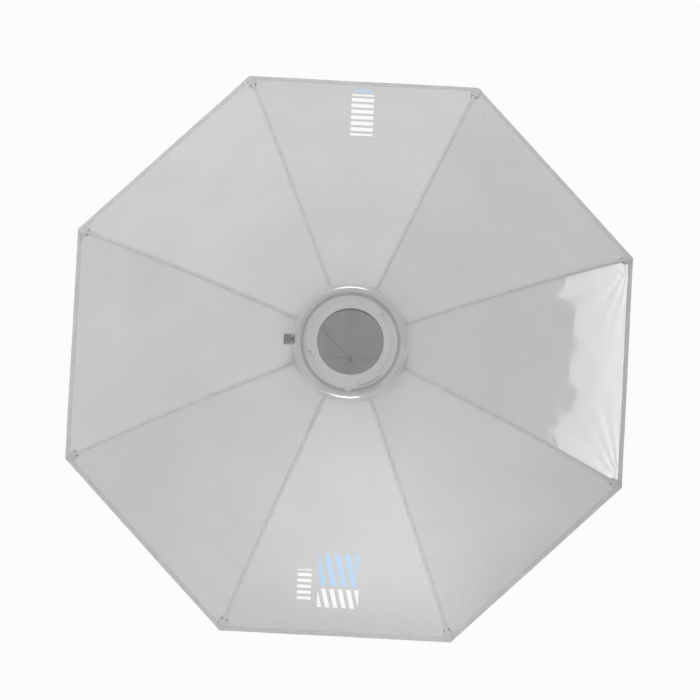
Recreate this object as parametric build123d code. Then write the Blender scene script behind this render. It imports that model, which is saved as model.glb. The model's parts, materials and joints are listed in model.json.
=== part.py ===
from build123d import *
import os
from math import asin, atan2, cos, degrees, hypot, radians, sin

# Folding octabox for a studio flash, in millimetres.
# Origin: centre of the mount on the hub's rear face. +Y is the way the light leaves, +Z is up.
# A part that belongs to one rib is drawn in that rib's plane, with X outwards from the axis,
# Y forwards and Z across the rib, and is then turned about the Y axis to its place.

# ---- driving dimensions ----
rib_count = 8
rim_radius = 457.0          # from the axis to a corner of the rim
rim_depth = 345.0           # from the hub's rear face to the rim
canopy_root = (82.5, 24.7)  # where a seam of the canopy leaves the hub: radius, depth
seam_rise = 40.5            # how far a seam bulges from its chord
cloth = 1.2                 # canopy thickness
cloth_gap = 0.3             # half of the gap between two neighbouring cloth panels
rod_radius = 3.0
rod_inset = 8.0             # rib centre line below the seam
tip_radius_closed = 95.0    # radius of the rib tips when the box is folded

pivot_radius = 72.0         # rib pivots: distance from the axis
pivot_depth = 29.5
crank_length = 16.0         # from a rib's pivot to the centre of its crank tip
crank_tip = 3.5             # radius of the tip that runs in the collar's groove
crank_web = 1.6             # half thickness of the crank arm
knuckle_width = 7.6
pin_radius = 2.0
running = 0.05              # radial clearance of everything that turns or slides

hub_radius = 85.0
hub_depth = 15.5
hub_round = 9.0             # rounding of the housing's outer rear edge
web_radius = 50.0
web_depth = 12.0            # front of the insert's seat
insert_radius = 73.05
insert_bore = 49.0
insert_rear = -10.0
lug_radius = 65.0
lug_collar = 59.0

post_circle = 56.0          # radius of the circle of guide posts
post_radius = 2.0
collar_outer = 59.5
collar_inner = 50.5
collar_flange = 3.0
groove_radius = 52.1
groove_play = 0.25

diffuser_depth = 350.0
diffuser_thickness = 1.0
diffuser_radius = 452.0

# ---- values worked out from them ----
pitch = 360.0 / rib_count
half_pitch = radians(pitch / 2)
spread = cos(half_pitch)
pivot = (pivot_radius, pivot_depth)


def arc_centre(start, end, rise):
    """Centre and radius of the arc from start to end that bulges by rise away from the axis."""
    chord = hypot(end[0] - start[0], end[1] - start[1])
    radius = (chord * chord / 4 + rise * rise) / (2 * rise)
    along = ((end[0] - start[0]) / chord, (end[1] - start[1]) / chord)
    reach = radius - rise
    middle = ((start[0] + end[0]) / 2, (start[1] + end[1]) / 2)
    return (middle[0] - along[1] * reach, middle[1] + along[0] * reach), radius


rim_corner = (rim_radius, rim_depth)
seam_centre, seam_radius = arc_centre(canopy_root, rim_corner, seam_rise)
rod_arc_radius = seam_radius - rod_inset
rim_angle = atan2(rim_corner[1] - seam_centre[1], rim_corner[0] - seam_centre[0])
root_angle = atan2(canopy_root[1] - seam_centre[1], canopy_root[0] - seam_centre[0])


def on_arc(radius, angle):
    """A point of the rib plane on a circle around the seam's centre."""
    return (seam_centre[0] + radius * cos(angle), seam_centre[1] + radius * sin(angle))


rod_start_trim = 5.0        # how far the rod starts from the canopy's root
rod_end_trim = 9.0          # how far the rod stops short of the rim
rod_tip_angle = rim_angle - rod_end_trim / rod_arc_radius
rod_start = on_arc(rod_arc_radius, root_angle + rod_start_trim / rod_arc_radius)
rod_middle = on_arc(rod_arc_radius, (root_angle + rim_angle) / 2)
rod_end = on_arc(rod_arc_radius, rod_tip_angle)

rib_reach = hypot(rod_end[0] - pivot_radius, rod_end[1] - pivot_depth)
open_lean = asin((rod_end[0] - pivot_radius) / rib_reach)
closed_lean = asin((tip_radius_closed - pivot_radius) / rib_reach)
swing = open_lean - closed_lean
crank_open = (
    pivot_radius - crank_length * cos(swing / 2),
    pivot_depth + crank_length * sin(swing / 2),
)
groove_half = crank_tip + groove_play
collar_half = groove_half + collar_flange
collar_depth = crank_open[1]

rib_angles = [pitch / 2 + pitch * index for index in range(rib_count)]
screw_angles = [pitch / 4 + pitch * index for index in range(rib_count)]
post_angles = [0.0, 90.0, 180.0, 270.0]
lug_turns = [75.0, 195.0, 315.0]
lever_angle = 90.0
knob_angle = 180.0
ring_split_angle = 270.0


# ---- helpers ----
def at_rib(shape, angle):
    """Turn a shape from the rib plane to its place around the axis."""
    return Rot(0, -angle, 0) * shape


def outline(*points):
    return make_face(Polyline(*points, close=True))


def turned(*points, arc=360.0):
    """A ring whose section has these corners, as radius and depth."""
    return revolve(outline(*points), axis=Axis.Y, revolution_arc=arc)


def rod_between(start, end, radius):
    """A round bar between two points of the rib plane."""
    along = Vector(end[0] - start[0], end[1] - start[1], 0)
    base = Plane(origin=(start[0], start[1], 0), z_dir=along)
    return extrude(base * Circle(radius), amount=along.length)


def plate(face, width):
    """A plate on the rib plane, centred on it."""
    return extrude(face, amount=width / 2, both=True)


def cross_pin(place, radius, width):
    """A round pin across the rib plane."""
    return Pos(place[0], place[1], 0) * Cylinder(radius, width)


def forward_pin(radius_out, start, end, radius):
    """A round pin along Y, from one depth to another, at a distance from the axis."""
    return Pos(radius_out, (start + end) / 2, 0) * Rot(90, 0, 0) * Cylinder(radius, end - start)


def link(start, end, half_width, width):
    """A straight bar between two points of the rib plane, square at its ends."""
    length = hypot(end[0] - start[0], end[1] - start[1])
    turn = degrees(atan2(end[1] - start[1], end[0] - start[0]))
    middle = ((start[0] + end[0]) / 2, (start[1] + end[1]) / 2)
    return Pos(*middle, 0) * Rot(0, 0, turn) * Box(length, 2 * half_width, width)


def spread_round(shape, angles):
    """Separate copies of one shape around the axis."""
    copies = [at_rib(shape, angle) for angle in angles]
    return Compound(children=[solid for copy in copies for solid in copy.solids()])


def save(shape, name):
    export_step(shape, f"parts/{name}.step")


# ---- hub housing ----
groove_rear = 0.5           # groove for the retainer ring
groove_front = 2.4
ring_groove_radius = 75.1
ring_mouth = 73.6
screw_circle = 79.5
screw_radius = 1.45
screw_depth = 7.0           # bottom of the blind screw holes
knob_depth = 7.2
knob_shaft = 3.0
post_fit = 0.02


def post_hole(play):
    """Cutter for one guide post, right through the web and the collar."""
    return forward_pin(post_circle, 0, 60, post_radius + play)


def hub_housing():
    """Glossy rear ring with the insert's seat, screw holes and the lock knob's hole."""
    seat = insert_radius + running
    body = turned(
        (web_radius, web_depth), (seat, web_depth), (seat, groove_front),
        (ring_groove_radius, groove_front), (ring_groove_radius, groove_rear),
        (ring_mouth, groove_rear), (ring_mouth, 0), (hub_radius, 0),
        (hub_radius, hub_depth), (web_radius, hub_depth),
    )
    rear_edges = body.edges().filter_by(GeomType.CIRCLE).group_by(Axis.Y)[0]
    outer_edge = rear_edges.sort_by(SortBy.RADIUS)[-1]
    body = fillet(outer_edge, hub_round)
    for angle in screw_angles:
        body -= at_rib(forward_pin(screw_circle, screw_depth, hub_depth + 1, screw_radius + running), angle)
    for angle in post_angles:
        body -= at_rib(post_hole(post_fit), angle)
    hole = rod_between((insert_radius - 3, knob_depth), (hub_radius + 3, knob_depth), knob_shaft + running)
    return body - at_rib(hole, knob_angle)


# ---- mount insert, its spring ring and its lock knob ----
flange_rear = 2.5
seat_gap = 0.1
lug_thickness = 3.0
lug_arc = 30.0


def mount_insert():
    """Metal ring with the bayonet collar that the flash head takes."""
    flange_front = web_depth - seat_gap
    body = turned(
        (insert_bore, insert_rear), (lug_collar, insert_rear), (lug_collar, flange_rear),
        (insert_radius, flange_rear), (insert_radius, flange_front), (insert_bore, flange_front),
    )
    lug = turned(
        (lug_collar - 1, insert_rear), (lug_radius, insert_rear),
        (lug_radius, insert_rear + lug_thickness), (lug_collar - 1, insert_rear + lug_thickness),
        arc=lug_arc,
    )
    for turn in lug_turns:
        body += at_rib(lug, turn)
    return body


def retainer_ring():
    """Split spring ring that keeps the insert in its seat."""
    inner, outer = 69.0, 75.0
    rear, front = 0.65, 2.3
    ring = turned((inner, rear), (outer, rear), (outer, front), (inner, front))
    split = Pos((inner + outer) / 2, (rear + front) / 2, 0) * Box(12, 4, 9)
    return ring - at_rib(split, ring_split_angle)


def insert_lock_knob():
    """Fluted thumb knob whose shaft ends against the insert's rim."""
    grip_start, grip_end, grip_radius = 86.2, 98.0, 7.8
    flute_count, flute_radius, flute_circle = 12, 1.5, 8.6
    shaft = rod_between((insert_radius + 0.5, knob_depth), (grip_start + 2, knob_depth), knob_shaft)
    grip = rod_between((grip_start, knob_depth), (grip_end, knob_depth), grip_radius)
    rim = grip.edges().filter_by(GeomType.CIRCLE).group_by(Axis.X)[-1]
    grip = fillet(rim, 1.2)
    for index in range(flute_count):
        flute = Rot(360 / flute_count * index, 0, 0) * Pos(0, flute_circle, 0)
        flute = flute * Rot(0, 90, 0) * Cylinder(flute_radius, 30)
        grip -= Pos(94, knob_depth, 0) * flute
    return at_rib(shaft + grip, knob_angle)


# ---- rib ring, its pins, screws and posts ----
ring_rear = hub_depth + 0.05
ring_front = 20.0
ring_inner = 64.0
ring_outer = 84.0
ear_inner = 4.0             # half of the gap between a rib's ears
ear_outer = 7.2
ear_radius = 6.0


def rib_ring():
    """Structural ring with a pair of ears for every rib."""
    body = turned(
        (ring_inner, ring_rear), (ring_outer, ring_rear),
        (ring_outer, ring_front), (ring_inner, ring_front),
    )
    foot_height = pivot_depth - ring_front + 1
    foot = Pos(pivot_radius, pivot_depth - foot_height / 2) * Rectangle(2 * ear_radius, foot_height)
    ear_face = foot + Pos(*pivot, 0) * Circle(ear_radius)
    ears = plate(ear_face, 2 * ear_outer) - plate(ear_face, 2 * ear_inner)
    ears -= cross_pin(pivot, pin_radius + running, 40)
    slot = Pos(ring_inner, ring_front, 0) * Box(14, 12, 2 * ear_inner)
    for angle in rib_angles:
        body += at_rib(ears, angle)
        body -= at_rib(slot, angle)
    for angle in screw_angles:
        body -= at_rib(forward_pin(screw_circle, ring_rear - 1, ring_front + 1, screw_radius + 0.25), angle)
    return body


def rib_pin():
    """Rivet through one rib's ears."""
    head_radius, head = 3.4, 1.0
    gap = 0.1
    body = cross_pin(pivot, pin_radius, 2 * (ear_outer + gap))
    for side in (-1, 1):
        body += Pos(*pivot, side * (ear_outer + gap + head / 2)) * Cylinder(head_radius, head)
    return body


def housing_screw():
    """Pan-head screw that holds the rib ring on the housing."""
    head_rear, head_front, head_radius = 20.05, 22.15, 2.8
    shank = forward_pin(screw_circle, screw_depth + 0.95, head_rear, screw_radius)
    head = forward_pin(screw_circle, head_rear, head_front, head_radius)
    recess = Pos(screw_circle, head_front - 0.15, 0) * Box(3.4, 1.4, 0.8)
    return shank + head - recess


def guide_post():
    """Shoulder post for the collar, with a head that stops it."""
    post_front = 52.0
    head_thickness, head_radius = 2.4, 3.8
    post = forward_pin(post_circle, web_depth + 0.4, post_front, post_radius)
    return post + forward_pin(post_circle, post_front, post_front + head_thickness, head_radius)


# ---- sliding collar and its clamp lever ----
lever_pivot = (61.6, collar_depth + 11.0)
lever_pin_radius = 1.5
lever_width = 7.0
lever_cam = 3.4
lever_reach = (27.0, 3.0)   # from the lever's pin to its finger bar
ear_wall = 3.0


def slide_collar():
    """Grooved collar that turns all the rib cranks together."""
    low = collar_depth - collar_half
    high = collar_depth + collar_half
    body = turned(
        (collar_inner, low), (collar_outer, low), (collar_outer, collar_depth - groove_half),
        (groove_radius, collar_depth - groove_half), (groove_radius, collar_depth + groove_half),
        (collar_outer, collar_depth + groove_half), (collar_outer, high), (collar_inner, high),
    )
    lug = Pos(60.5, high - collar_flange / 2, 0) * Box(11, collar_flange, 14)
    slot_width = lever_width + 0.4
    ear_height = lever_pivot[1] - high + 0.4
    ear_face = Pos(lever_pivot[0], (high + lever_pivot[1]) / 2, 0) * Rectangle(8, ear_height)
    ear_face += Pos(*lever_pivot, 0) * Circle(4)
    ears = plate(ear_face, slot_width + 2 * ear_wall) - plate(ear_face, slot_width)
    ears -= cross_pin(lever_pivot, lever_pin_radius + running, 30)
    body += at_rib(lug + ears, lever_angle)
    for angle in post_angles:
        body -= at_rib(post_hole(running), angle)
    return body


def collar_lock_lever():
    """Cam lever that clamps the collar on the post beside it."""
    tip = (lever_pivot[0] + lever_reach[0], lever_pivot[1] + lever_reach[1])
    body = cross_pin(lever_pivot, lever_cam, lever_width)
    body += link(lever_pivot, tip, 2.0, lever_width)
    body += cross_pin(tip, 3.0, lever_width + 3)
    body -= cross_pin(lever_pivot, lever_pin_radius + running, 30)
    return at_rib(body, lever_angle)


def lever_pin():
    """Headed pin of the clamp lever."""
    head_radius, head = 2.6, 0.8
    shank_half = lever_width / 2 + ear_wall + 0.4
    body = cross_pin(lever_pivot, lever_pin_radius, 2 * shank_half)
    for side in (-1, 1):
        body += Pos(*lever_pivot, side * (shank_half - 0.1 + head / 2)) * Cylinder(head_radius, head)
    return at_rib(body, lever_angle)


# ---- ribs ----
socket_play = 0.02
socket_length = 20.0        # how far the knuckle reaches along the seam
cap_length = 14.0
cap_radius = 4.6


def bent_bar(radius):
    """Round bar along the rib's arc."""
    path = ThreePointArc(rod_start, rod_middle, rod_end)
    return sweep(Plane(origin=path @ 0, z_dir=path % 0) * Circle(radius), path=path)


def knuckle():
    """Rib root: pivot boss, socket for the rod and crank arm with its round tip."""
    boss_radius = ear_radius - 0.4
    relief_radius = ear_radius + 1.4
    socket_end = on_arc(rod_arc_radius, root_angle + socket_length / rod_arc_radius)
    body = cross_pin(pivot, boss_radius, knuckle_width)
    body += link(pivot, socket_end, 4.6, knuckle_width + 1.6)
    body += link(pivot, crank_open, crank_web, knuckle_width)
    body += cross_pin(crank_open, crank_tip, knuckle_width)
    side_relief = cross_pin(pivot, relief_radius, 30) - cross_pin(pivot, relief_radius + 0.1, knuckle_width)
    body -= side_relief
    body -= cross_pin(pivot, pin_radius + running, 30)
    return body - bent_bar(rod_radius + socket_play)


def tip_cap():
    """Round-nosed ferrule on the rod's outer end."""
    back = on_arc(rod_arc_radius, rod_tip_angle - cap_length / rod_arc_radius)
    body = rod_between(back, rod_end, cap_radius) + Pos(*rod_end, 0) * Sphere(cap_radius)
    return body - bent_bar(rod_radius + socket_play)


# ---- canopy and diffuser ----
def canopy_panel():
    """Cloth of one rib: half of the gore on each side, joined at the seam."""
    stations = (root_angle, (root_angle + rim_angle) / 2, rim_angle)
    points = [on_arc(seam_radius, angle) for angle in stations]
    profile = ThreePointArc(*[(point[0] * spread, point[1]) for point in points])
    band = trace(profile, cloth)
    sheet = Pos(0, 0, -cloth_gap) * extrude(band, amount=-rim_radius / 2)
    half = Rot(0, -degrees(half_pitch), 0) * sheet
    keep = Pos(0, 0, rim_radius / 2) * Box(3 * rim_radius, 3 * rim_radius, rim_radius)
    half &= keep
    return half + mirror(half, about=Plane.XY)


def diffuser_panel():
    """Eighth of the front cloth, from the apex to one corner of the rim."""
    side = diffuser_radius * spread
    mid_edge = (side * spread, side * sin(half_pitch))
    corners = [(0, 0), mid_edge, (diffuser_radius, 0), (mid_edge[0], -mid_edge[1])]
    face = Plane.XZ * make_face(Polyline(*corners, close=True))
    face = offset(face, amount=-cloth_gap, kind=Kind.INTERSECTION)
    return Pos(0, diffuser_depth, 0) * extrude(face, amount=-diffuser_thickness)


# ---- write the parts ----
os.makedirs("parts", exist_ok=True)
save(hub_housing(), "hub_housing")
save(mount_insert(), "mount_insert")
save(retainer_ring(), "retainer_ring")
save(insert_lock_knob(), "insert_lock_knob")
save(rib_ring(), "rib_ring")
save(spread_round(rib_pin(), rib_angles), "rib_pins")
save(spread_round(housing_screw(), screw_angles), "housing_screws")
save(spread_round(guide_post(), post_angles), "guide_posts")
save(slide_collar(), "slide_collar")
save(collar_lock_lever(), "collar_lock_lever")
save(lever_pin(), "lever_pin")

rib_parts = {
    "rib_{}_rod": bent_bar(rod_radius),
    "rib_{}_knuckle": knuckle(),
    "rib_{}_tip_cap": tip_cap(),
    "canopy_panel_{}": canopy_panel(),
    "diffuser_panel_{}": diffuser_panel(),
}
for number, angle in enumerate(rib_angles, start=1):
    for name, shape in rib_parts.items():
        save(at_rib(shape, angle), name.format(number))
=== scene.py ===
import bpy
import json
import numpy as np
from math import atan2, cos, hypot, pi, radians, sin
from mathutils import Matrix, Vector

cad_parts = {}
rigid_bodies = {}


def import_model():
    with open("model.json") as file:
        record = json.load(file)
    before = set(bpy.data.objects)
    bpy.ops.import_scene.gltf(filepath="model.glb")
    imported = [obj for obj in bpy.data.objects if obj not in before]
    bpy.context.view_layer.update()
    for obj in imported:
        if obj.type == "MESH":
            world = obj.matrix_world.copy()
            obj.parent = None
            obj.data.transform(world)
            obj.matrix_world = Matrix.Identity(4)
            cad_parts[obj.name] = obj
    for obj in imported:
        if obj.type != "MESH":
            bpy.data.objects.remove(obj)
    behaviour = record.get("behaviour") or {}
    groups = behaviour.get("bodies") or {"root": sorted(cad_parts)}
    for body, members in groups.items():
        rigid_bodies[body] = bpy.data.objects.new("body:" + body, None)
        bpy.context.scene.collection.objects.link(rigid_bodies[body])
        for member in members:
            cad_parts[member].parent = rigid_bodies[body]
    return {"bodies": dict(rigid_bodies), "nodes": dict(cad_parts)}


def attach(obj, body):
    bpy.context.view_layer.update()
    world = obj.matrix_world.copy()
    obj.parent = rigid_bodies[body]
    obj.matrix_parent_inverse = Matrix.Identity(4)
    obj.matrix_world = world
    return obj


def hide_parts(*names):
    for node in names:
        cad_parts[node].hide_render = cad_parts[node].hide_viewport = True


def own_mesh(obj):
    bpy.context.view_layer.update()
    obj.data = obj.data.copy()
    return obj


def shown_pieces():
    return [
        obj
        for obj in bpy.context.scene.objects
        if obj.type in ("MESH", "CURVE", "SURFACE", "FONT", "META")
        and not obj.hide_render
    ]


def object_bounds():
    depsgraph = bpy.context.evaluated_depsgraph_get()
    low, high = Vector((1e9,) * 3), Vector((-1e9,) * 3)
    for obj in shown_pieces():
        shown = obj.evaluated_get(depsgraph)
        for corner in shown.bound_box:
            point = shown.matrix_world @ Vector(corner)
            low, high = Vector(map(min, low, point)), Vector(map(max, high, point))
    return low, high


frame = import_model()
cad_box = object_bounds()

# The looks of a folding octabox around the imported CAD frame. The frame is in metres. Cloth is worked out
# in millimetres in the plane of a rib: X outwards from the axis, Y forwards, Z across the rib.
MM = 0.001

# ---- named sizes, in millimetres unless they are shares ----
seam_rise = 40.5            # how far a seam bulges from its chord
shell_half = 0.4            # half the thickness of fabric and lining together
sag = 5.0                   # how far a gore dips between its ribs, halfway along
puff = 5.0                  # how far the front cloth bulges at its centre
tape_half = 3.3             # half width of the tape over a seam
beside_seam = 4.0           # first station of the cloth beside a seam
binding_leg = 7.5           # how far the rim binding reaches back over the cloth
root_leg = 10.0             # how far the hub's binding reaches out over the cloth
hem_width = 17.0            # grey hem of the front cloth
front_overhang = 4.3        # how far the front cloth's corners stand past the CAD cloth
front_sink = 0.5            # how far its rim lies behind the CAD cloth's front
front_slack = 0.5           # how much of the canopy's slack it shows
apex_hold = 0.12            # part of its radius, from the axis, over which its slack builds up
same_point = 1e4            # steps in a millimetre; points in one step are one vertex
seam_reach = 0.4            # a CAD vertex this close to a rib's plane lies on its seam

stitch_length = 3.2
stitch_pitch = 4.8
stitch_radius = 0.3
stitch_profile = ((-0.5, 0.35), (-0.34, 1.0), (0.34, 1.0), (0.5, 0.35))     # place along, thickness
stitch_rise = 0.3           # how far a stitch is lifted, as a share of its radius
rim_stitch_inset = 2.4      # stitches from the edge of the rim binding
rim_stitch_height = 1.15
tape_stitch_place = 0.62    # as a share of the tape's half width
tape_stitch_height = 0.88
hem_stitch_height = 0.8

# Slack and creases: both build up away from what holds the cloth.
slack_height = 1.1          # of the longest wave, before the share below
slack_share = 0.42          # how much of the slack is left in stretched cloth
slack_hold = 32.0           # how far from a seam the slack reaches its full height
crease_hold = 9.0           # how far from a seam the creases reach theirs
root_hold = 0.05            # part of a seam, from the hub, over which both build up
rim_grip = 0.75             # share of both that the rim takes out
rim_grip_power = 24         # the higher, the closer to the rim it takes hold
fan_waves = 17              # phase of a corner's creases for each radian of their fan
fan_height = 0.9
fan_start = 25.0            # from the corner to the creases' full height
fan_fade = 85.0             # from the corner to where they die out
pucker_pitch = 26.0         # along the seam
pucker_height = 0.25
pucker_start = 3.0
pucker_fade = 9.0
calm_start, calm_end = 0.60, 0.95       # v between which the creases fade to nothing

# The sewn pocket at a rib's end. Its stations run along the seam and are counted back from the rim.
pocket_overhang = 6.0       # how far it stands past the rim
pocket_stations = (26, 25.4, 24, 19, 13, 7, 2, -1.5, -4, -5.4, -pocket_overhang)
pocket_mouth = 26.6         # where its other end lies
pocket_half_width = 7.4
pocket_half_height = 7.9
pocket_sink = 5.6           # its middle below the seam
pocket_nose = 7.0           # length of its rounded end
pocket_lip = 3.0            # length of its rounded mouth
nose_share, lip_share = 0.14, 0.5       # how much of its size is left at these two ends
pocket_squareness = 0.75    # 1 is an ellipse, less is squarer
pocket_weave = 7.0          # radius its weave is laid out on

# ---- how finely the cloth is divided ----
rows = 112                  # cloth stations from the hub to the rim
stiff_columns = 14          # stations from a seam to the edge of its stiff strip
loose_columns = 22          # stations from there to the middle of the gore
stiff_rim_steps = 29        # stations of the rim binding across a stiff strip
stiff_root_steps = 17
loose_rim_steps = 18
pocket_sides = 24
front_rows = 40
front_columns = 20

# The cloth beside a rib is a strip of its own, cut off from the rest of the gore at a plane.
# The plane's normal is given along the seam's outward normal, along its chord and across the rib.
# It is chosen so that the gathered cloth of neighbouring ribs meets about halfway between them.
gather_normal = (-0.4437, 0.1283, 1.0)
gather_reach = 36.04        # along that normal, which isn't of unit length, from the seam's hub end

# ---- sizes worked out from the frame ----
rib_total = sum(1 for body in frame["bodies"] if body.startswith("rib_"))
half_pitch = pi / rib_total
sides = (-1, 1)


def rib_angle(number):
    """Angle of a rib around the axis, from +X towards +Z."""
    return (2 * number - 1) * half_pitch


def rib_places(node, number):
    """Vertices of a CAD node in the plane of a rib, in millimetres."""
    mesh = frame["nodes"][node].data
    places = np.zeros(3 * len(mesh.vertices))
    mesh.vertices.foreach_get("co", places)
    x, y, z = places.reshape(-1, 3).T / MM
    turn = rib_angle(number)
    return np.stack([x * cos(turn) + z * sin(turn), y, z * cos(turn) - x * sin(turn)], axis=1)


panel = rib_places("canopy_panel_1", 1)
seam_line = panel[np.abs(panel[:, 2]) < seam_reach]
seam_line = seam_line[np.argsort(seam_line[:, 0])]
root = seam_line[:2, :2].mean(axis=0)
rim = seam_line[-2:, :2].mean(axis=0)
chord = rim - root
chord_length = hypot(*chord)
chord_way = chord / chord_length
outward_way = np.array([chord_way[1], -chord_way[0]])
seam_radius = (chord_length ** 2 / 4 + seam_rise ** 2) / (2 * seam_rise)
seam_centre = (root + rim) / 2 - outward_way * (seam_radius - seam_rise)
root_turn = atan2(root[1] - seam_centre[1], root[0] - seam_centre[0])
rim_turn = atan2(rim[1] - seam_centre[1], rim[0] - seam_centre[0])
seam_length = seam_radius * (rim_turn - root_turn)
front = rib_places("diffuser_panel_1", 1)
front_radius = front[:, 0].max()
front_depth = front[:, 1].max()


# ---- the cloth's shape ----
def unit(vectors):
    """The same directions with a length of 1."""
    return vectors / np.linalg.norm(vectors, axis=-1)[..., None]


def seam_point(u):
    """Radius, depth and turn of a point of the seam, u running from 0 at the hub to 1 at the rim."""
    turn = root_turn + (rim_turn - root_turn) * u
    radius = seam_centre[0] + seam_radius * np.cos(turn)
    depth = seam_centre[1] + seam_radius * np.sin(turn)
    return radius, depth, turn


def crest(u):
    """Outward normal on the seam itself."""
    turn = seam_point(u)[2]
    return np.stack([np.cos(turn), np.sin(turn), 0 * turn], axis=-1)


def half_gore_width(u):
    """Distance from the seam to the middle of the gore, square to the middle."""
    return seam_point(u)[0] * sin(half_pitch)


def smooth_gore(u, v, side):
    """Point and outward normal of the smooth gore, v running from 0 at the seam to 1 at its middle."""
    radius, depth, turn = seam_point(u)
    lean = np.hypot(np.cos(turn), np.sin(turn) * cos(half_pitch))
    out = np.cos(turn) / lean
    normal = np.stack([out * cos(half_pitch), np.sin(turn) * cos(half_pitch) / lean,
                       side * out * sin(half_pitch)], axis=-1)
    point = np.stack([radius - v * radius * sin(half_pitch) ** 2, depth,
                      side * v * radius * sin(half_pitch) * cos(half_pitch)], axis=-1)
    dip = -sag * np.sin(pi * np.clip(u, 0, 1)) * v * (2 - v)
    return point + dip[..., None] * normal, normal


def to_world(places, number):
    """From the plane of a rib, in millimetres, to the frame, in metres."""
    turn = rib_angle(number)
    x, y, z = places[..., 0], places[..., 1], places[..., 2]
    return np.stack([x * cos(turn) - z * sin(turn), y, x * sin(turn) + z * cos(turn)], axis=-1) * MM


# Waves that make up the slack, each with its own direction and start. The long ones are the highest.
chance = np.random.default_rng(7)
wave_count = 9
shortest_wave, longest_wave = 0.05, 0.26        # in metres
wave_lengths = np.geomspace(shortest_wave, longest_wave, wave_count)
wave_ways = chance.normal(size=(wave_count, 3))
wave_ways /= np.linalg.norm(wave_ways, axis=1)[:, None]
wave_starts = chance.uniform(0, 2 * pi, wave_count)
wave_heights = slack_height * (wave_lengths / wave_lengths[-1]) ** 0.8


def slack(world):
    """Uneven slack of the stretched cloth, in millimetres, the same wherever two pieces meet."""
    height = np.zeros(world.shape[:-1])
    for way, length, start, tall in zip(wave_ways, wave_lengths, wave_starts, wave_heights):
        height += tall * np.sin(world @ way * 2 * pi / length + start)
    return height * slack_share


def creases(u, v):
    """Tension creases that fan out from a corner, and puckers beside the seam, in millimetres."""
    across = v * half_gore_width(u)
    back = (1 - u) * seam_length
    reach = np.hypot(across, back)
    fan = np.sin(fan_waves * np.arctan2(across, back + 1.0))
    fan *= np.exp(-reach / fan_fade) * np.minimum(reach / fan_start, 1)
    pucker = np.sin(2 * pi * u * seam_length / pucker_pitch)
    pucker *= np.exp(-across / pucker_fade) * np.minimum(across / pucker_start, 1)
    calm = np.clip((calm_end - v) / (calm_end - calm_start), 0, 1)
    return (fan_height * fan + pucker_height * pucker) * calm * calm


def gore(u, v, side, number):
    """Point of the worn, stretched cloth in the plane of a rib."""
    place, normal = smooth_gore(u, v, side)
    across = v * half_gore_width(u)
    lift = slack(to_world(place, number)) * np.minimum(across / slack_hold, 1) ** 2
    lift += creases(u, v) * np.minimum(across / crease_hold, 1) ** 2
    ease = np.minimum(u / root_hold, 1) * (1 - rim_grip * np.clip(u, 0, 1) ** rim_grip_power)
    return place + (lift * ease)[..., None] * normal


def gore_normal(u, v, side, number):
    """Outward normal of the worn cloth."""
    step_u, step_v = 0.0015, 0.008
    run_u = gore(u + step_u, v, side, number) - gore(u - step_u, v, side, number)
    run_v = gore(u, v + step_v, side, number) - gore(u, np.maximum(v - step_v, 0), side, number)
    return unit(np.cross(run_u, run_v) * np.asarray(side)[..., None])


def gather_axis(side):
    """Normal of the gathering plane in the rib's plane, not of unit length."""
    along_out, along_chord, across = gather_normal
    flat = along_out * outward_way + along_chord * chord_way
    return np.array([flat[0], flat[1], side * across])


def gather_side(u, v, side):
    """How far a point of the cloth lies past the gathering plane."""
    place = smooth_gore(u, v, side)[0]
    start = np.array([root[0], root[1], 0.0])
    return (place - start) @ gather_axis(side) - gather_reach


def stiff_edge(u):
    """v of the edge between the strip that stays with the rib and the rest of the gore."""
    halvings = 40
    low = np.zeros_like(u)
    high = np.ones_like(u)
    for _ in range(halvings):
        middle = (low + high) / 2
        past = gather_side(u, middle, 1) > 0
        high = np.where(past, middle, high)
        low = np.where(past, low, middle)
    return np.where(gather_side(u, np.ones_like(u), 1) > 0, high, 1.0)


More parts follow.
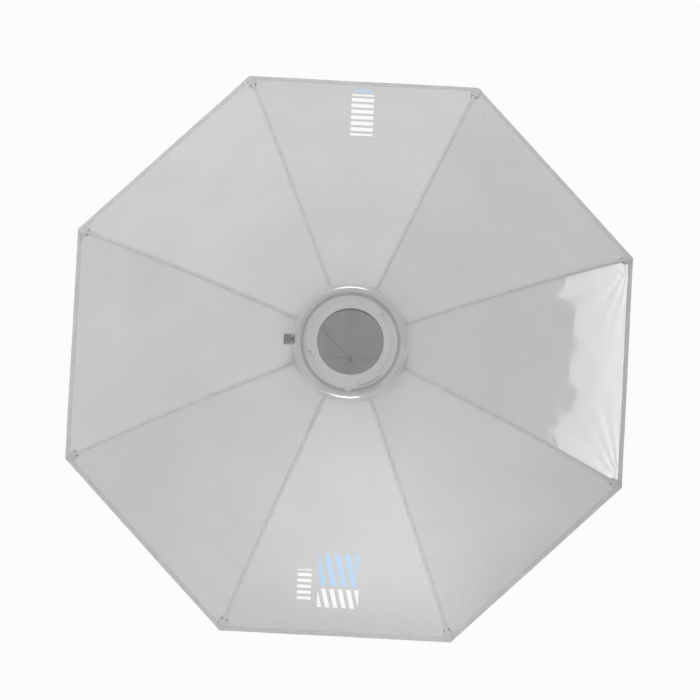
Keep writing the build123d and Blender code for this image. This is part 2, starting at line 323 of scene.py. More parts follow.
# ---- mesh building ----
class Piece:
    """Gathers closed shells with their own normals, in a rib's plane, and makes one object of them."""

    def __init__(self, name, number):
        self.name = name
        self.number = number
        self.points = []
        self.weave = []
        self.faces = []
        self.slots = []
        self.normals = []
        self.known = {}

    def vertex(self, place, weave):
        """Index of the vertex at a place, which is made if it isn't there yet."""
        key = tuple(np.round(place * same_point).astype(int))
        if key not in self.known:
            self.known[key] = len(self.points)
            self.points.append(place)
            self.weave.append(weave)
        return self.known[key]

    def face(self, corners, slot, normals=None):
        """Adds a face, dropping corners that fall together."""
        kept = [i for i in range(len(corners)) if corners[i] != corners[i - 1]]
        if len(kept) < 3:
            return
        index = [corners[i] for i in kept]
        if normals is None:
            a, b, c = (np.array(self.points[i]) for i in index[:3])
            flat = np.cross(b - a, c - a)
            length = np.linalg.norm(flat)
            flat = flat / length if length > 0 else np.array([0.0, 0.0, 1.0])
            given = [flat] * len(index)
        else:
            given = [normals[i] for i in kept]
        self.faces.append(index)
        self.slots.append(slot)
        self.normals.extend(given)

    def grid(self, index, normals, slot, flip):
        """Faces of a grid of vertices; flip turns them over."""
        tall, wide = index.shape
        for i in range(tall - 1):
            for j in range(wide - 1):
                spots = [(i, j), (i, j + 1), (i + 1, j + 1), (i + 1, j)]
                if flip:
                    spots.reverse()
                self.face([index[s] for s in spots], slot, [normals[s] for s in spots])

    def sheet(self, places, weave):
        """Grid of vertices at a grid of places."""
        self.known = {}
        flat = [self.vertex(p, w) for p, w in zip(places.reshape(-1, 3), weave.reshape(-1, 3))]
        return np.array(flat).reshape(places.shape[:2])

    def shell(self, outer, inner, outer_normals, inner_normals, weave, slots):
        """Closed sheet between two grids of points, with the outer, inner and edge slots."""
        tops = self.sheet(outer, weave)
        downs = self.sheet(inner, weave)
        tall, wide = tops.shape
        mid = tall // 2
        run_j = outer[mid, 1] - outer[mid, 0]
        run_i = outer[mid + 1, 0] - outer[mid, 0]
        flip = np.dot(np.cross(run_j, run_i), outer_normals[mid, 0]) < 0
        self.grid(tops, outer_normals, slots[0], flip)
        self.grid(downs, inner_normals, slots[1], not flip)
        spots = [(0, j) for j in range(wide)] + [(i, wide - 1) for i in range(1, tall)]
        spots += [(tall - 1, j) for j in range(wide - 2, -1, -1)]
        spots += [(i, 0) for i in range(tall - 2, 0, -1)]
        for a, b in zip(spots, spots[1:] + spots[:1]):
            corners = [tops[a], downs[a], downs[b], tops[b]]
            if flip:
                corners.reverse()
            self.face(corners, slots[2])

    def tube(self, rings, weave, slot):
        """Bar through rings of points; smooth, with flat ends."""
        spread = rings - rings.mean(axis=1, keepdims=True)
        if np.vdot(ring_normals(rings), spread) < 0:
            rings = rings[:, ::-1]
            weave = weave[:, ::-1]
        index = self.sheet(rings, weave)
        normals = ring_normals(rings)
        count, around = index.shape
        for i in range(count - 1):
            for j in range(around):
                m = (j + 1) % around
                spots = [(i, j), (i, m), (i + 1, m), (i + 1, j)]
                self.face([index[s] for s in spots], slot, [normals[s] for s in spots])
        self.face(index[0][::-1].tolist(), slot)
        self.face(index[-1].tolist(), slot)

    def build(self, materials):
        """The finished object, in the frame."""
        points = to_world(np.array(self.points), self.number)
        normals = to_world(np.array(self.normals), self.number) / MM
        mesh = bpy.data.meshes.new(self.name)
        mesh.from_pydata(points.tolist(), [], self.faces)
        mesh.polygons.foreach_set("material_index", self.slots)
        mesh.polygons.foreach_set("use_smooth", [True] * len(self.faces))
        for name, values in (("rest", points), ("weave", np.array(self.weave) * MM)):
            spot = mesh.attributes.new(name, "FLOAT_VECTOR", "POINT")
            spot.data.foreach_set("vector", values.ravel())
        mesh.normals_split_custom_set(normals.tolist())
        for material in materials:
            mesh.materials.append(material)
        piece = bpy.data.objects.new(self.name, mesh)
        bpy.context.scene.collection.objects.link(piece)
        return piece


def ring_normals(rings):
    """Normals of a tube from its own grid."""
    around = np.roll(rings, -1, axis=1) - np.roll(rings, 1, axis=1)
    normals = np.cross(around, np.gradient(rings, axis=0))
    return normals / np.maximum(np.linalg.norm(normals, axis=-1)[..., None], 1e-12)


# ---- cloth pieces ----
CLOTH, LINING, BINDING, THREAD = range(4)       # material slots of the canopy's pieces
FRONT, HEM, FRONT_THREAD = range(3)             # material slots of the front cloth

# Sections of the bindings: place in from the edge of the cloth, height above it.
rim_section = [(7.5, 0.3), (7.0, 0.95), (3.0, 1.2), (-2.0, 1.3), (-5.2, 1.15), (-6.6, 0.6), (-7.0, -0.2),
               (-6.5, -0.9), (-4.0, -1.3), (2.0, -1.3), (7.0, -1.1), (7.6, -0.3)]
root_section = [(10.0, 0.3), (9.4, 1.0), (2.0, 1.4), (-1.2, 1.5), (-2.3, 0.8), (-2.6, -0.2),
                (-1.6, -1.2), (2.0, -1.4), (8.0, -1.1), (8.6, -0.3)]
# Section of the seam tape: place across, as a share of its half width, and height.
tape_section = [(-1.0, -0.6), (-0.97, 0.35), (-0.86, 0.75), (-0.5, 0.95), (-0.16, 1.1), (0.0, 1.5),
                (0.16, 1.1), (0.5, 0.95), (0.86, 0.75), (0.97, 0.35), (1.0, -0.6)]

stations = np.linspace(0, 1, rows)
edge_line = stiff_edge(stations)
rim_edge = edge_line[-1]
rim_half_width = half_gore_width(1.0)
front_across = np.linspace(-1, 1, 2 * front_columns + 1)        # w of the front cloth's stations
forwards = np.array([0.0, 1.0, 0.0])


def weave_of(u, v, side):
    """Across and along places of the cloth, for its weave, and the distance from the seam."""
    across = v * half_gore_width(u)
    return np.stack([across * side, u * seam_length + 0 * v, across], axis=-1)


def cloth_shell(piece, u, v, side):
    """Fabric and lining over a grid of stations on one side of a seam or, if side is a grid, on both."""
    middle = gore(u, v, side, piece.number)
    normal = gore_normal(u, v, side, piece.number)
    normal = np.where((v <= 0)[..., None], crest(u), normal)
    piece.shell(middle + normal * shell_half, middle - normal * shell_half, normal, -normal,
                weave_of(u, v, side), (CLOTH, LINING, BINDING))


def edge_tube(piece, section, start_u, way, v_of, count, side):
    """Binding wrapped along an edge of the cloth, on one side of the seam or, if side is 0, on both.

    The cloth lies on the way side of start_u, and v_of gives the v of a step from 0 to 1 along the edge."""
    back, height = np.array(section).T
    u = start_u + way * back / seam_length
    inside = np.clip(u, 0, 1)
    rings = []
    weaves = []
    for step in np.linspace(0, 1, count):
        v = v_of(inside, step)
        here = side or (1 if step >= 0.5 else -1)
        on_seam = side == 0 and abs(step - 0.5) < 1e-9
        normal = crest(u) if on_seam else gore_normal(inside, np.maximum(v, 0.02), here, piece.number)
        rings.append(gore(u, v, here, piece.number) + normal * height[:, None])
        weaves.append(weave_of(u, v, here))
    piece.tube(np.array(rings), np.array(weaves), BINDING)


def stitch_row(piece, places, ways, normals, slot):
    """Short raised stitches lying on the cloth."""
    around = np.linspace(0, 2 * pi, 5, endpoint=False)
    for place, way, normal in zip(places, ways, normals):
        cross = np.cross(way, normal)
        rings = []
        for along, size in stitch_profile:
            centre = place + way * along * stitch_length
            radius = stitch_radius * size
            rings.append([centre + (cross * cos(a) + normal * (sin(a) + stitch_rise)) * radius
                          for a in around])
        rings = np.array(rings)
        piece.tube(rings, np.broadcast_to(place, rings.shape), slot)


def rim_stitches(piece, v, side):
    """Row of stitches that holds the rim binding."""
    u = np.full_like(v, 1 - (binding_leg - rim_stitch_inset) / seam_length)
    normals = gore_normal(u, v, side, piece.number)
    places = gore(u, v, side, piece.number) + normals * rim_stitch_height
    ahead = gore(u, v + 0.01, side, piece.number)
    behind = gore(u, v - 0.01, side, piece.number)
    stitch_row(piece, places, unit(ahead - behind), normals, THREAD)


def stiff_strip(number, materials):
    """Cloth that stays with one rib, with its seam tape, bindings and stitches."""
    piece = Piece(f"canopy_rib_strip_{number}", number)
    first = beside_seam / half_gore_width(stations)
    steps = np.linspace(0, 1, stiff_columns)
    one_side = first[:, None] + (edge_line - first)[:, None] * steps
    u = np.repeat(stations[:, None], 2 * stiff_columns + 1, axis=1)
    v = np.concatenate([one_side[:, ::-1], np.zeros((rows, 1)), one_side], axis=1)
    side = np.where(np.arange(v.shape[1]) < stiff_columns, -1, 1)
    cloth_shell(piece, u, v, np.broadcast_to(side, v.shape))

    edge_tube(piece, rim_section, 1, -1, lambda u, step: stiff_edge(u) * abs(2 * step - 1),
              stiff_rim_steps, 0)
    edge_tube(piece, root_section, 0, 1, lambda u, step: np.ones_like(u) * abs(2 * step - 1),
              stiff_root_steps, 0)
    seam_tape(piece)
    spots = np.arange(2 * tape_half, rim_edge * rim_half_width, stitch_pitch) / rim_half_width
    for one in sides:
        rim_stitches(piece, spots, one)
    return finish_cloth(piece, materials)


def seam_tape(piece):
    """Raised tape over the seam, with two rows of stitches."""
    across, height = np.array(tape_section).T
    u = np.repeat(stations[:, None], len(across), axis=1)
    v = np.abs(across) * tape_half / half_gore_width(u)
    places, normals = smooth_gore(u, v, np.where(across < 0, -1, 1))
    normals = np.where((across == 0)[:, None], crest(u), normals)
    weave = np.stack([across * tape_half + 0 * u, u * seam_length, 0 * u], axis=-1)
    piece.tube(places + normals * height[:, None], weave, BINDING)
    count = int((seam_length - root_leg - binding_leg) / stitch_pitch)
    u = (root_leg + stitch_pitch * (np.arange(count) + 0.5)) / seam_length
    v = tape_stitch_place * tape_half / half_gore_width(u)
    for side in sides:
        places, normals = smooth_gore(u, v, side)
        ahead = smooth_gore(u + 0.002, v, side)[0]
        stitch_row(piece, places + normals * tape_stitch_height, unit(ahead - places), normals, THREAD)


def loose_strip(number, side, materials):
    """Cloth from a rib's stiff strip to the middle of the gore, on the rib's body."""
    piece = Piece(f"canopy_gore_{number}_{'left' if side > 0 else 'right'}", number)
    first = max(int(np.argmax(edge_line < 1)) - 1, 0)
    u = np.repeat(stations[first:, None], loose_columns, axis=1)
    edge = edge_line[first:, None]
    v = edge + (1 - edge) * np.linspace(0, 1, loose_columns)
    cloth_shell(piece, u, v, side)
    edge_tube(piece, rim_section, 1, -1, lambda u, step: stiff_edge(u) + (1 - stiff_edge(u)) * step,
              loose_rim_steps, side)
    spots = np.arange(rim_edge * rim_half_width + stitch_pitch / 2, rim_half_width - stitch_pitch / 3,
                      stitch_pitch)
    rim_stitches(piece, spots / rim_half_width, side)
    made = finish_cloth(piece, materials)
    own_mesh(made)


def finish_cloth(piece, materials):
    """Puts a cloth piece on its rib."""
    made = piece.build(materials)
    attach(made, f"rib_{piece.number}")
    return made


def rounded(distance, length, blunt):
    """Size of a rounded end this far from its tip, from blunt at the tip to 1 once past its length."""
    share = np.clip(distance / length, 0, 1)
    return np.sqrt(1 - (1 - share) ** 2) * (1 - blunt) + blunt


def boxy(value):
    """Turns a sine or cosine into that of a rounded box."""
    return np.sign(value) * np.abs(value) ** pocket_squareness


def corner_pocket(number, materials):
    """Sewn pocket that holds the end of a rib at a corner of the rim."""
    piece = Piece(f"rib_pocket_{number}", number)
    around = np.linspace(0, 2 * pi, pocket_sides, endpoint=False)
    rings = []
    weaves = []
    for back in pocket_stations:
        u = 1 - back / seam_length
        size = rounded(back + pocket_overhang, pocket_nose, nose_share)
        size *= rounded(pocket_mouth - back, pocket_lip, lip_share)
        place = np.array([*seam_point(u)[:2], 0.0])
        wide = boxy(np.cos(around)) * pocket_half_width * size
        tall = boxy(np.sin(around)) * pocket_half_height * size - pocket_sink
        rings.append(place + tall[:, None] * crest(u) + wide[:, None] * np.array([0, 0, 1]))
        weaves.append(np.stack([around * pocket_weave, 0 * around + back, 0 * around], axis=-1))
    piece.tube(np.array(rings), np.array(weaves), 0)
    finish_cloth(piece, materials)


def front_point(s, w, number, lift=0.0):
    """Point of the front cloth, s from 0 at the axis to 1 at the rim, w across the sector."""
    reach = front_radius + front_overhang
    x = s * (reach - np.abs(w) * reach * sin(half_pitch) ** 2)
    z = s * w * reach * sin(half_pitch) * cos(half_pitch)
    flat = np.stack([x, 0 * x + front_depth - front_sink, z], axis=-1)
    loose = np.clip(s / apex_hold, 0, 1) ** 2 * (1 - s ** 6)
    bulge = puff * (1 - s * s) + front_slack * slack(to_world(flat, number)) * loose
    flat[..., 1] += bulge + lift
    return flat


def front_weave(places):
    """Across and along places of the front cloth, for its weave."""
    return np.stack([places[..., 2], places[..., 0], 0 * places[..., 0]], axis=-1)


def front_sheet(piece):
    """The front cloth itself."""
    s, w = np.meshgrid(np.linspace(0, 1, front_rows), front_across, indexing="ij")
    face = front_point(s, w, piece.number)
    step = 0.01
    run_s = front_point(s + step, w, piece.number) - front_point(s - step, w, piece.number)
    run_w = front_point(s + step, w + step, piece.number) - front_point(s + step, w - step, piece.number)
    normal = np.cross(run_w, run_s)
    normal[0] = forwards
    normal = unit(normal) * np.sign(normal[..., 1:2])
    piece.shell(face + normal * shell_half, face - normal * shell_half, normal, -normal,
                front_weave(face), (FRONT, FRONT, HEM))


def front_hem(piece):
    """Grey hem round the front cloth, with its stitches."""
    inner = 1 - hem_width / (front_radius * cos(half_pitch))
    stitch_line = inner + 0.006
    hem_section = [(inner, 0.1), (inner + 0.002, 0.7), (0.99, 0.75), (1.0, 0.6)]
    edges, heights = np.array(hem_section).T
    s, w = np.meshgrid(edges, front_across, indexing="ij")
    top = front_point(s, w, piece.number, shell_half)
    top[..., 1] += heights[:, None]
    low = front_point(s, w, piece.number)
    up = np.broadcast_to(forwards, top.shape)
    piece.shell(top, low, up, -up, front_weave(top), (HEM, HEM, HEM))
    count = int(2 * front_radius * sin(half_pitch) / stitch_pitch)
    w = (np.arange(count) + 0.5) / count * 2 - 1
    s = np.full(count, stitch_line)
    places = front_point(s, w, piece.number, shell_half + hem_stitch_height)
    ahead = front_point(s, w + 0.001, piece.number)
    behind = front_point(s, w - 0.001, piece.number)
    stitch_row(piece, places, unit(ahead - behind), np.broadcast_to(forwards, places.shape), FRONT_THREAD)


def front_panel(number, materials):
    """Eighth of the front diffuser, on the body of its diffuser panel, whose CAD cloth it hides."""
    piece = Piece(f"diffuser_sector_{number}", number)
    front_sheet(piece)
    front_hem(piece)
    made = piece.build(materials)
    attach(made, f"diffuser_{number}")
    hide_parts(f"diffuser_panel_{number}")
    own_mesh(made)


# ---- materials ----
class Shader:
    """A material's node tree, with a short way to add and join nodes."""

    def __init__(self, name):
        self.material = bpy.data.materials.new(name)
        self.material.use_nodes = True
        self.tree = self.material.node_tree
        self.surface = self.tree.nodes["Principled BSDF"]

    def put(self, target, value):
        """Sets an input, or joins another node's output to it."""
        if isinstance(value, bpy.types.NodeSocket):
            self.tree.links.new(value, target)
        else:
            target.default_value = value

    def add(self, kind, *values, out=0, **settings):
        """Adds a node with its first inputs given in order; returns one of its outputs."""
        node = self.tree.nodes.new("ShaderNode" + kind)
        named = {key: value for key, value in settings.items() if key[0].isupper()}
        for key, value in settings.items():
            if key not in named:
                setattr(node, key, value)
        for target, value in zip(node.inputs, values):
            self.put(target, value)
        for key, value in named.items():
            self.put(node.inputs[key.replace("_", " ")], value)
        return node.outputs[out]

    def math(self, operation, *values):
        """One arithmetic step on values or sockets."""
        return self.add("Math", *values, operation=operation)

    def product(self, first, second):
        """Two values or sockets multiplied."""
        return self.math("MULTIPLY", first, second)

    def stored(self, name):
        """Vector kept on a mesh's points: rest, the place in the frame, or weave, that on the cloth."""
        return self.add("Attribute", attribute_name=name, out=1)

    def split(self, vector):
        """X, Y and Z of a vector."""
        node = self.tree.nodes.new("ShaderNodeSeparateXYZ")
        self.put(node.inputs[0], vector)
        return node.outputs

    def blend(self, share, first, second):
        """Mix of two colours."""
        node = self.tree.nodes.new("ShaderNodeMix")
        node.data_type = "RGBA"
        self.put(node.inputs[0], share)
        self.put(node.inputs[6], first)
        self.put(node.inputs[7], second)
        return node.outputs[2]

    def span(self, value, low, high, start=0.0, end=1.0):
        """Maps low..high to start..end, with no values outside."""
        return self.add("MapRange", value, low, high, start, end)

    def finish(self, **inputs):
        """Sets the surface's inputs; returns the material."""
        for key, value in inputs.items():
            self.put(self.surface.inputs[key.replace("_", " ")], value)
        return self.material

    def mixed(self, share, other):
        """Mixes another shader into the surface; returns the material."""
        mix = self.add("MixShader", share, self.surface.outputs[0], other)
        self.put(self.tree.nodes["Material Output"].inputs[0], mix)
        return self.material


def grey(level, warmth=0.0):
    """Colour from a display level between 0 and 255."""
    share = level / 255
    linear = ((share + 0.055) / 1.055) ** 2.4
    return (linear * (1 + warmth), linear, linear * (1 - warmth), 1)


def woven(shader, thread, depth, strength):
    """Bump of a plain weave over soft crumples, with threads this many millimetres apart."""
    x, y, _ = shader.split(shader.stored("weave"))
    turn = 2 * pi / (thread * MM)
    over = shader.math("SINE", shader.product(x, turn))
    under = shader.math("SINE", shader.product(y, turn))
    crumple = shader.add("TexNoise", shader.stored("rest"), Scale=38.0, Detail=5.0, Roughness=0.6)
    soft = shader.add("Bump", Strength=0.35, Distance=0.0016, Height=crumple)
    threads = shader.product(over, under)
    return shader.add("Bump", Strength=strength, Distance=depth * MM, Height=threads, Normal=soft)


def block(shader, x, z, area):
    """1 inside an area given as left, right, bottom and top; soft by half a millimetre."""
    edge = 0.5 * MM
    left, right, bottom, top = area
    inside_x = shader.product(shader.span(x, left - edge, left + edge),
                              shader.span(x, right + edge, right - edge))
    inside_z = shader.product(shader.span(z, bottom - edge, bottom + edge),
                              shader.span(z, top + edge, top - edge))
    return shader.product(inside_x, inside_z)


def bars(shader, along, pitch, share):
    """1 on parallel bars, which cover this share of their pitch."""
    wave = shader.math("FRACT", shader.math("DIVIDE", along, pitch))
    return shader.math("LESS_THAN", wave, share)


# Plain printed bars where the real box has its marks: areas in metres, seen along the axis.
top_bars = (-0.017, 0.017, 0.328, 0.402)
top_cap = (-0.014, 0.014, 0.406, 0.411)
low_bars = (-0.030, 0.032, -0.384, -0.357)
side_bars = (-0.061, -0.040, -0.378, -0.330)
blue_bars = (-0.030, 0.032, -0.352, -0.306)
bar_slant = 0.28
print_blue = (0.44, 0.61, 0.83, 1)


def canopy_cloth():
    """Satin grey shell fabric with plain printed bars on the top and bottom gores."""
    shader = Shader("canopy_cloth")
    rest = shader.stored("rest")
    mottle = shader.add("TexNoise", rest, Scale=7.0, Detail=4.0, Roughness=0.55)
    fine = shader.add("TexNoise", rest, Scale=420.0, Detail=2.0)
    base = shader.blend(shader.span(mottle, 0.3, 0.7), grey(192), grey(199))
    base = shader.blend(shader.product(fine, 0.12), base, grey(170))
    x, _, z = shader.split(rest)
    slanted = shader.math("ADD", x, shader.product(z, bar_slant))
    top = shader.product(block(shader, x, z, top_bars), bars(shader, z, 0.0105, 0.62))
    low = shader.product(block(shader, x, z, low_bars), bars(shader, slanted, 0.0125, 0.55))
    left = shader.product(block(shader, x, z, side_bars), bars(shader, z, 0.0085, 0.5))
    blue = shader.product(block(shader, x, z, blue_bars), bars(shader, slanted, 0.0155, 0.6))
    blue = shader.math("MAXIMUM", blue, block(shader, x, z, top_cap))
    pale = shader.math("MAXIMUM", shader.math("MAXIMUM", top, low), left)
    base = shader.blend(shader.product(pale, 0.92), base, grey(246))
    base = shader.blend(shader.product(blue, 0.85), base, print_blue)
    return shader.finish(Base_Color=base, Roughness=shader.span(mottle, 0.25, 0.75, 0.5, 0.6),
                         Normal=woven(shader, 0.9, 0.12, 0.5), Sheen_Weight=0.25, Sheen_Roughness=0.4,
                         Specular_IOR_Level=0.35, Coat_Weight=0.7, Coat_Roughness=0.09)


def canopy_lining():
    """Silver lining with a fine pebbled face."""
    shader = Shader("canopy_lining")
    rest = shader.stored("rest")
    pebble = shader.add("TexVoronoi", rest, Scale=650.0)
    bump = shader.add("Bump", Strength=0.5, Distance=0.0004, Height=pebble)
    cloud = shader.add("TexNoise", rest, Scale=14.0, Detail=3.0)
    base = shader.blend(cloud, grey(205), grey(228))
    return shader.finish(Base_Color=base, Metallic=0.85, Roughness=shader.span(cloud, 0, 1, 0.28, 0.42),
                         Normal=bump)


def binding_tape(name, level):
    """Ribbed grosgrain tape."""
    shader = Shader(name)
    rib_turn = 2 * pi / (1.4 * MM)
    x, y, _ = shader.split(shader.stored("weave"))
    ribs = shader.math("ADD", shader.math("SINE", shader.product(x, rib_turn)),
                       shader.math("SINE", shader.product(y, rib_turn)))
    bump = shader.add("Bump", Strength=0.5, Distance=0.0003, Height=ribs)
    grime = shader.add("TexNoise", shader.stored("rest"), Scale=60.0, Detail=4.0)
    base = shader.blend(shader.span(grime, 0.3, 0.7), grey(level - 6), grey(level + 5))
    return shader.finish(Base_Color=base, Roughness=0.72, Normal=bump, Sheen_Weight=0.3)


def sewing_thread():
    """Twisted polyester thread."""
    shader = Shader("sewing_thread")
    twist = shader.add("TexWave", shader.stored("rest"), Scale=900.0, bands_direction="DIAGONAL")
    bump = shader.add("Bump", Strength=0.6, Distance=0.0002, Height=twist)
    base = shader.blend(twist, grey(196), grey(222))
    return shader.finish(Base_Color=base, Roughness=0.5, Normal=bump, Sheen_Weight=0.4)


def diffuser_cloth():
    """White translucent front fabric."""
    shader = Shader("diffuser_cloth")
    bump = woven(shader, 0.7, 0.1, 0.45)
    cloud = shader.add("TexNoise", shader.stored("rest"), Scale=5.0, Detail=3.0)
    base = shader.blend(cloud, grey(236, 0.004), grey(243, 0.01))
    shader.finish(Base_Color=base, Roughness=0.8, Normal=bump, Sheen_Weight=0.2)
    return shader.mixed(0.42, shader.add("BsdfTranslucent", grey(240, 0.006), bump))


def moulded(name, level, roughness, coat=0.0):
    """Moulded plastic with a fine grain, faint scuffs and paler worn edges."""
    shader = Shader(name)
    place = shader.add("TexCoord", out=3)
    grain = shader.add("TexNoise", place, Scale=1560.0, Detail=3.0)
    scuff = shader.add("TexNoise", place, Scale=65.0, Detail=6.0, Roughness=0.7)
    bump = shader.add("Bump", Strength=0.25, Distance=0.0001, Height=grain)
    pointiness = shader.add("NewGeometry", out=7)
    worn = shader.span(pointiness, 0.52, 0.6)
    base = shader.blend(shader.span(scuff, 0.35, 0.65), grey(level - 5), grey(level + 4))
    base = shader.blend(shader.product(worn, 0.35), base, grey(level + 35))
    rough = shader.span(scuff, 0.3, 0.7, roughness * 0.8, roughness * 1.25)
    return shader.finish(Base_Color=base, Roughness=rough, Normal=bump, Coat_Weight=coat,
                         Coat_Roughness=0.12)


def metal(name, level, roughness, lathe=False):
    """Metal with fine tool lines: concentric rings round the axis if it was turned on a lathe."""
    shader = Shader(name)
    place = shader.add("TexCoord", out=3)
    tooled = place
    if lathe:
        x, y, z = shader.split(place)
        flat = shader.add("CombineXYZ", x, 0.0, z)
        radius = shader.add("VectorMath", flat, operation="LENGTH", out=1)
        tooled = shader.add("CombineXYZ", radius, y, 0.0)
    lines = shader.add("TexNoise", tooled, Scale=1600.0, Detail=3.0)
    spots = shader.add("TexNoise", place, Scale=30.0, Detail=3.0)
    bump = shader.add("Bump", Strength=0.12, Distance=0.00005, Height=lines)
    base = shader.blend(spots, grey(level - 6), grey(level + 6))
    rough = shader.span(lines, 0.25, 0.75, roughness * 0.8, roughness * 1.25)
    return shader.finish(Base_Color=base, Metallic=1.0, Roughness=rough, Normal=bump)


# ---- put the cloth on the frame ----
cloth_set = [canopy_cloth(), canopy_lining(), binding_tape("binding_tape", 190), sewing_thread()]
pocket_set = [binding_tape("pocket_tape", 184)]
front_set = [diffuser_cloth(), binding_tape("front_hem", 205), cloth_set[THREAD]]
for number in range(1, rib_total + 1):
    strip = stiff_strip(number, cloth_set)
    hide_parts(f"canopy_panel_{number}")
    for side in sides:
        loose_strip(number, side, cloth_set)
    corner_pocket(number, pocket_set)
    front_panel(number, front_set)

# ---- finishes of the CAD pieces ----
finishes = {
    "hub_housing": moulded("hub_plastic", 172, 0.22, coat=1.0),
    "insert_lock_knob": moulded("knob_plastic", 96, 0.4),
    "mount_insert": metal("insert_metal", 214, 0.3, lathe=True),
    "retainer_ring": metal("ring_metal", 178, 0.35, lathe=True),
    "rib_ring": metal("cast_ring", 176, 0.42),
    "rib_pins": metal("steel", 200, 0.22),
    "slide_collar": moulded("collar_plastic", 92, 0.38),
    "collar_lock_lever": moulded("lever_plastic", 70, 0.35),
}
for name in ("housing_screws", "guide_posts", "lever_pin"):
    finishes[name] = finishes["rib_pins"]
rib_steel = metal("rib_steel", 190, 0.28)
knuckle_plastic = moulded("knuckle_plastic", 88, 0.4)
tip_rubber = moulded("tip_rubber", 60, 0.7)
for number in range(1, rib_total + 1):
    finishes[f"rib_{number}_rod"] = rib_steel
    finishes[f"rib_{number}_knuckle"] = knuckle_plastic
    finishes[f"rib_{number}_tip_cap"] = tip_rubber
for name, finish in finishes.items():
    mesh = frame["nodes"][name].data
    mesh.materials.clear()
    mesh.materials.append(finish)


# ---- floor, light and camera ----
floor_drop = 0.8            # floor below the axis of the box, in metres
floor_reach = 60.0
fade_start, fade_end = 2.5, 7.0
room_level = 0.97           # what the camera sees of the empty room
white = (1, 1, 1, 1)


def pale_floor():
    """Matt floor round the object, which fades into the pale room further out."""
    shader = Shader("pale_floor")
    place = shader.add("TexCoord", out=3)
    cloud = shader.add("TexNoise", place, Scale=1.5, Detail=3.0)
    base = shader.blend(cloud, grey(240), grey(246))
    shader.finish(Base_Color=base, Roughness=0.9)
    far = shader.add("VectorMath", place, operation="LENGTH", out=1)
    glow = shader.add("Emission", white, room_level)
    return shader.mixed(shader.span(far, fade_start, fade_end), glow)


def floor_disc():
    """Round floor under the object."""
    around = np.linspace(0, 2 * pi, 96, endpoint=False)
    points = [(floor_reach * cos(a), floor_reach * sin(a), 0) for a in around]
    mesh = bpy.data.meshes.new("floor")
    mesh.from_pydata(points, [], [list(range(len(points)))])
    mesh.materials.append(pale_floor())
    floor = bpy.data.objects.new("floor", mesh)
    floor.location = (0, 0, -floor_drop)
    bpy.context.scene.collection.objects.link(floor)


def studio_world(strength):
    """White room: an even fill for the object, and a paler tone for the camera alone."""
    world = bpy.data.worlds.new("studio")
    bpy.context.scene.world = world
    world.use_nodes = True
    tree = world.node_tree
    fill = tree.nodes["Background"]
    seen = tree.nodes.new("ShaderNodeBackground")
    for background, level in ((fill, strength), (seen, room_level)):
        background.inputs[0].default_value = white
        background.inputs[1].default_value = level
    ray = tree.nodes.new("ShaderNodeLightPath")
    mix = tree.nodes.new("ShaderNodeMixShader")
    tree.links.new(ray.outputs["Is Camera Ray"], mix.inputs[0])
    tree.links.new(fill.outputs[0], mix.inputs[1])
    tree.links.new(seen.outputs[0], mix.inputs[2])
    tree.links.new(mix.outputs[0], tree.nodes["World Output"].inputs[0])


def direction(azimuth, elevation):
    """Unit vector towards an azimuth and elevation in degrees; azimuth 0 is where the camera stands."""
    turn, rise = radians(azimuth), radians(elevation)
    return Vector((sin(turn) * cos(rise), -cos(turn) * cos(rise), sin(rise)))


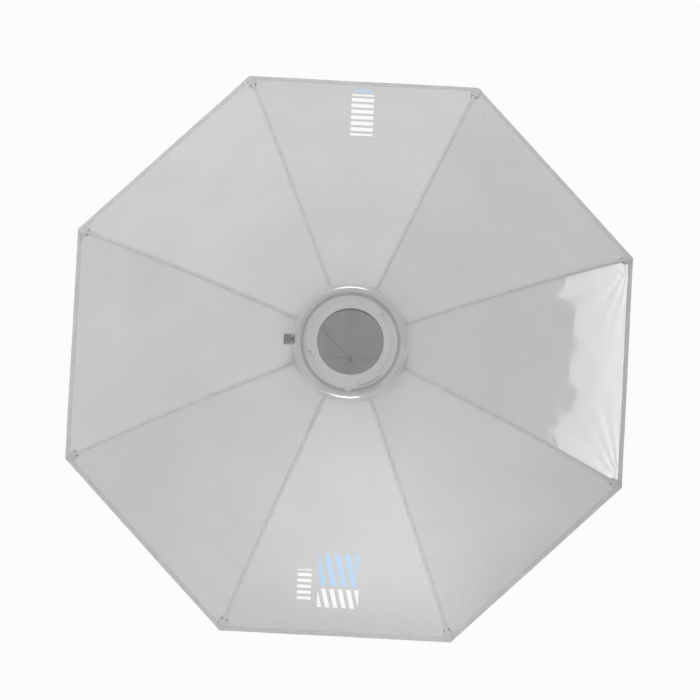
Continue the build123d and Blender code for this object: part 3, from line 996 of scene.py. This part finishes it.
def soft_light(name, azimuth, elevation, distance, size, power, only=None, mirrored=True, spread=True):
    """Square soft light aimed at the middle of the object; only limits it to a group of pieces.

    A light that isn't mirrored leaves no highlights, and one that isn't spread leaves nothing else."""
    data = bpy.data.lights.new(name, "AREA")
    data.size = size
    data.energy = power
    lamp = bpy.data.objects.new(name, data)
    way = direction(azimuth, elevation)
    lamp.location = middle + way * distance
    lamp.rotation_mode = "QUATERNION"
    lamp.rotation_quaternion = way.to_track_quat("Z", "Y")
    bpy.context.scene.collection.objects.link(lamp)
    lamp.visible_camera = False
    lamp.visible_glossy = mirrored
    lamp.visible_diffuse = spread
    if only:
        lamp.light_linking.receiver_collection = only


def place_camera(distance, elevation, roll, angle):
    """Camera behind the hub, looking the way the box throws its light."""
    data = bpy.data.cameras.new("camera")
    camera = bpy.data.objects.new("camera", data)
    bpy.context.scene.collection.objects.link(camera)
    bpy.context.scene.camera = camera
    data.angle = radians(angle)
    data.clip_end = 200
    way = direction(0, elevation)
    camera.location = middle + way * distance
    camera.rotation_mode = "QUATERNION"
    look = (-way).to_track_quat("-Z", "Y")
    camera.rotation_quaternion = look @ Matrix.Rotation(radians(roll), 3, "Z").to_quaternion()


def lit_group(name, chosen):
    """The pieces whose names are chosen, for a light that reaches only them."""
    group = bpy.data.collections.new(name + "_group")
    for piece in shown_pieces():
        if chosen(piece.name):
            group.objects.link(piece)
    return group


middle = (cad_box[0] + cad_box[1]) / 2
object_group = lit_group("object", lambda name: True)
canopy_group = lit_group("canopy", lambda name: name.startswith("canopy"))
front_group = lit_group("front", lambda name: name.startswith("diffuser"))
cloth_names = ("canopy", "diffuser", "rib_pocket")
hub_group = lit_group("hub", lambda name: not name.startswith(cloth_names))
floor_disc()
studio_world(0.6)
soft_light("top_light", azimuth=-2, elevation=60, distance=2.6, size=1.0, power=31, mirrored=False)
soft_light("low_light", azimuth=18, elevation=-60, distance=0.8, size=0.4, power=1.9,
           only=object_group, mirrored=False)
soft_light("left_light", azimuth=-88, elevation=0, distance=2.6, size=0.7, power=17,
           only=object_group, mirrored=False)
soft_light("edge_panel", azimuth=115, elevation=0, distance=2.4, size=1.4, power=25,
           only=canopy_group, spread=False)
soft_light("front_light", azimuth=205, elevation=42, distance=3.0, size=1.6, power=66,
           only=front_group)
soft_light("high_glint", azimuth=-5, elevation=66, distance=2.4, size=1.1, power=34,
           only=hub_group, spread=False)
soft_light("low_glint", azimuth=-5, elevation=-62, distance=0.75, size=0.35, power=3.4,
           only=hub_group, spread=False)
place_camera(distance=8.0, elevation=-4, roll=3, angle=7.5)
bpy.context.scene.view_settings.view_transform = "Standard"
